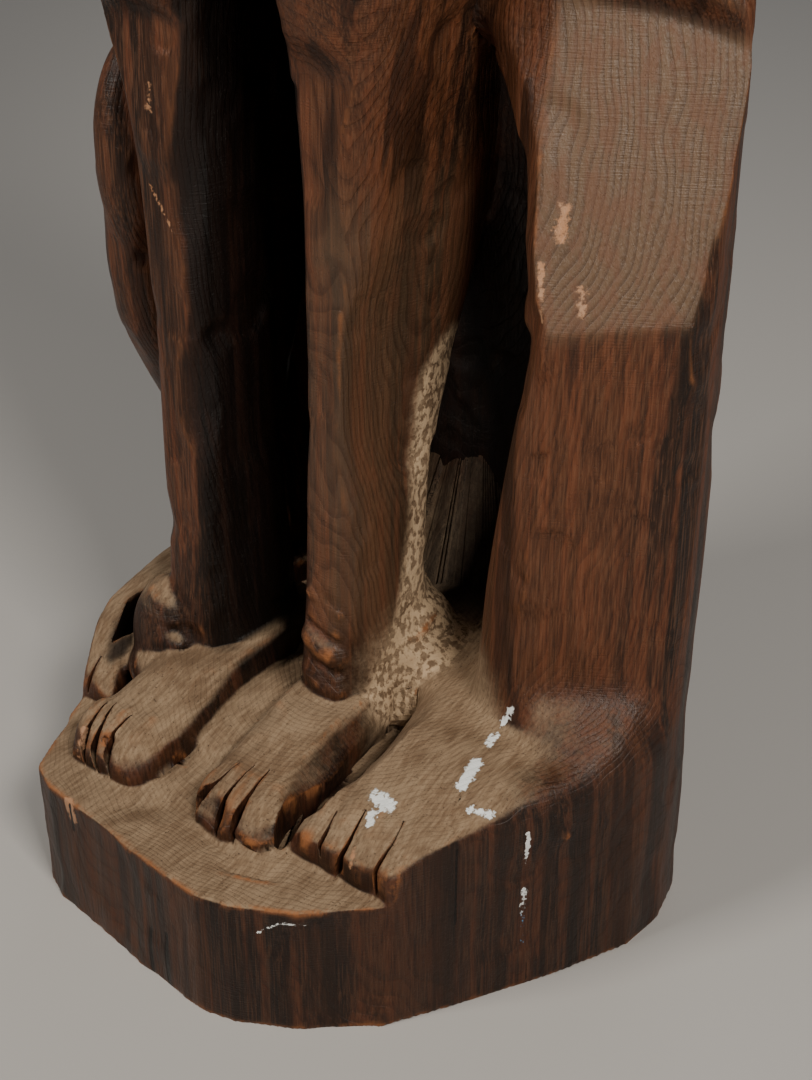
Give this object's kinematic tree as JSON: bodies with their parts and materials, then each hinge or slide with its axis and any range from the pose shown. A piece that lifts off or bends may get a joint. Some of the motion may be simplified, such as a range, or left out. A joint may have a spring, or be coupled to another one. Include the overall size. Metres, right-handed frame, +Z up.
{
  "type": "seated hound log carving",
  "caption": "Tall seated hound carved with its hewn plinth out of one dark stained softwood log, with clawed paws on the plinth and open gaps between the legs.",
  "frame": {"origin": "centre of the log on the plinth's flat underside", "axes": "+Z up along the log, -Y the way the hound faces, +X to the hound's left"},
  "size_m": [0.295, 0.3152, 0.9006],
  "materials": {
    "plinth_wood": "dark red-brown stained softwood, vertical grain, satin, hewn flats",
    "paw_wood": "stained softwood under a worn dusty film, dull",
    "leg_wood": "red-brown stained softwood with dark grain bands, satin",
    "body_wood": "brown stained softwood, brushed tool marks, satin",
    "head_wood": "brown stained softwood, fine tool marks, satin"
  },
  "bodies": {
    "root": {"plinth": "plinth_wood", "left_forepaw": "paw_wood", "right_forepaw": "paw_wood", "left_foreleg": "leg_wood", "right_foreleg": "leg_wood", "left_hind_foot": "paw_wood", "right_hind_foot": "paw_wood", "left_shank": "leg_wood", "right_shank": "leg_wood", "left_thigh": "body_wood", "right_thigh": "body_wood", "loin": "body_wood", "ribcage": "body_wood", "neck": "body_wood", "head": "head_wood", "muzzle": "head_wood", "lower_jaw": "head_wood", "left_ear": "head_wood", "right_ear": "head_wood", "tail": "body_wood"}
  },
  "joints": []
}
